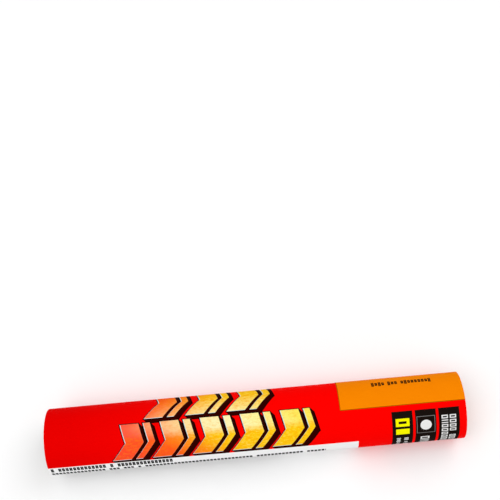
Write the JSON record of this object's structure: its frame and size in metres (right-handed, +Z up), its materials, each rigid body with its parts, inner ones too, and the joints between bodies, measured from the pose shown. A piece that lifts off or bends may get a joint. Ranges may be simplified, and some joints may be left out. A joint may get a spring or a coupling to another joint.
{
  "type": "hand-held road flare",
  "caption": "Hand-held red flare: a printed paper tube with an empty handle, a pressed flame charge, a coiled fuse and an orange pull-out cap.",
  "frame": {"origin": "on the plane that the flare lies on, under the middle of the tube", "axes": "+X along the tube from the handle end to the fuse end, +Z up from the plane that it lies on, -Y towards the side with the black printed panels"},
  "size_m": [0.219, 0.0351, 0.0351],
  "materials": {
    "printed_paper": "coated label paper, printed red with a white, black and yellow layout, light gloss",
    "label_paper": "self-adhesive orange label paper, satin",
    "kraft_board": "rolled kraft paper, matt, plies showing at the cut ends",
    "grey_board": "die-cut grey board, matt",
    "plug_plastic": "moulded low-density plastic, fine texture",
    "cap_plastic": "moulded low-density plastic, satin gloss",
    "pressed_clay": "dry pressed clay, matt",
    "flame_charge": "pressed powder, matt, slightly grainy",
    "first_fire": "pressed dark powder, matt",
    "fuse_thread": "cross-wound thread under green lacquer",
    "black_powder": "fine black powder",
    "glue": "amber hot-melt glue"
  },
  "bodies": {
    "flare": {"casing_wrap": "printed_paper", "fuse_label": "label_paper", "casing_tube": "kraft_board", "flame_tube": "kraft_board", "rear_spacer_ring": "kraft_board", "bulkhead_disc": "grey_board", "fuse_disc": "grey_board", "handle_plug": "plug_plastic", "clay_base_plug": "pressed_clay", "front_spacer_ring": "pressed_clay", "first_fire_pellet": "first_fire", "fuse_jacket": "fuse_thread", "fuse_powder_core": "black_powder", "fuse_glue_bead": "glue", "flame_pellet_1": "flame_charge", "flame_pellet_2": "flame_charge", "flame_pellet_3": "flame_charge", "flame_pellet_4": "flame_charge", "flame_pellet_5": "flame_charge"},
    "cap": {"fuse_cap": "cap_plastic"},
    "tab": {"pull_tab": "cap_plastic"}
  },
  "joints": [
    {"name": "cap_pull", "type": "slide", "parent": "flare", "child": "cap", "axis": [1, 0, 0], "range_m": [0, 0.02]},
    {"name": "tab_lift", "type": "hinge", "parent": "cap", "child": "tab", "pos_m": [0.1064, 0, 0.0267], "axis": [0, -1, 0], "range_deg": [0, 110]}
  ]
}
